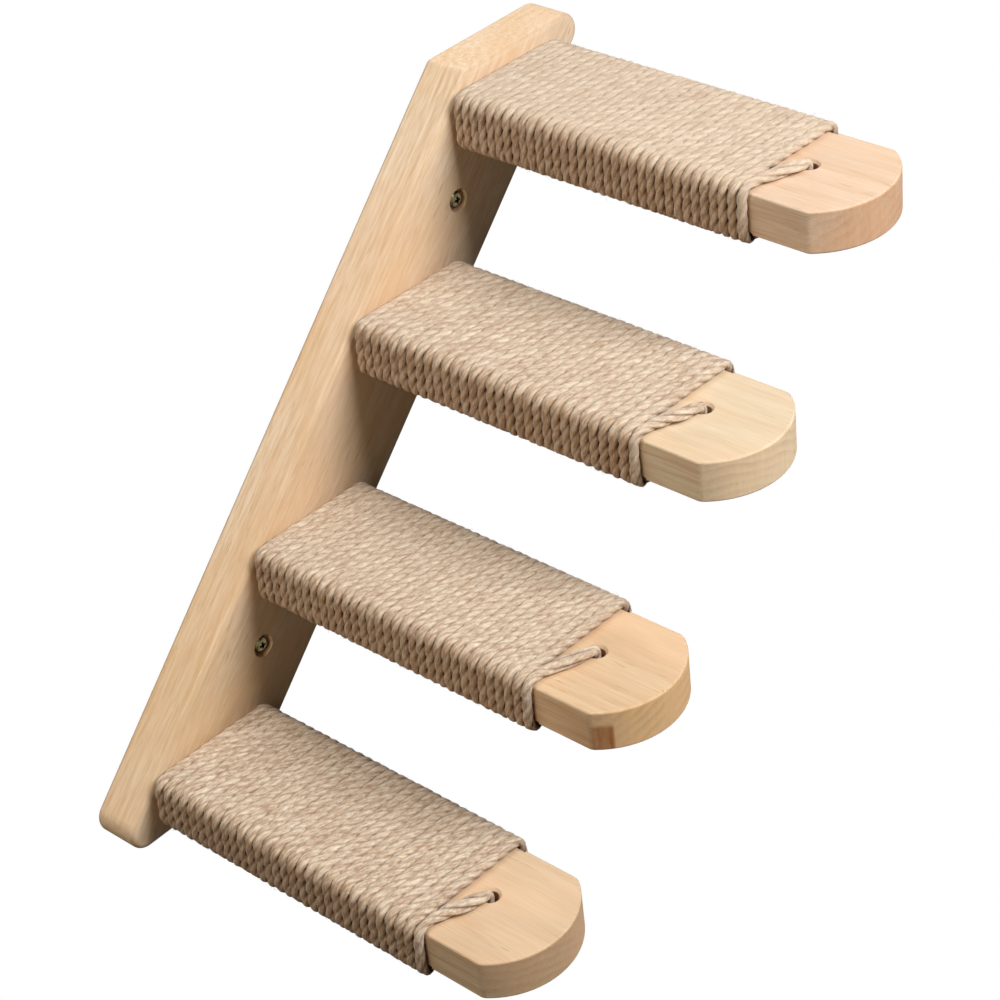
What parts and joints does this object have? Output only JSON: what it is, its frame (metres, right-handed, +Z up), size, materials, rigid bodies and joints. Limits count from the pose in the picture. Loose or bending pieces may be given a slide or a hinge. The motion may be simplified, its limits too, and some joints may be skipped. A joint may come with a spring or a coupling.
{
  "type": "cat wall ladder",
  "caption": "Wall ladder for cats: a slanted wooden board screwed to the wall carries level plank treads, each wound with twisted rope up to its rounded tip.",
  "frame": {"origin": "on the board's wall face, midway between the two wall screws", "axes": "+Y into the wall, +Z up, +X to the right for someone facing the wall; the board leans to +X going up"},
  "size_m": [0.3895, 0.2864, 0.3175],
  "materials": {
    "board_wood": "sanded, clear matt",
    "tread_wood": "sanded, clear matt",
    "dowel_wood": "raw",
    "rope": "twisted jute",
    "screw_steel": "zinc plated"
  },
  "bodies": {
    "root": {"back_board": "board_wood", "tread_1": "tread_wood", "rope_wrap_1": "rope", "dowel_1": "dowel_wood", "tread_screw_1_left": "screw_steel", "tread_screw_1_right": "screw_steel", "tread_2": "tread_wood", "rope_wrap_2": "rope", "dowel_2": "dowel_wood", "tread_screw_2_left": "screw_steel", "tread_screw_2_right": "screw_steel", "tread_3": "tread_wood", "rope_wrap_3": "rope", "dowel_3": "dowel_wood", "tread_screw_3_left": "screw_steel", "tread_screw_3_right": "screw_steel", "tread_4": "tread_wood", "rope_wrap_4": "rope", "dowel_4": "dowel_wood", "tread_screw_4_left": "screw_steel", "tread_screw_4_right": "screw_steel", "wall_screw_upper": "screw_steel", "wall_screw_lower": "screw_steel"}
  },
  "joints": []
}
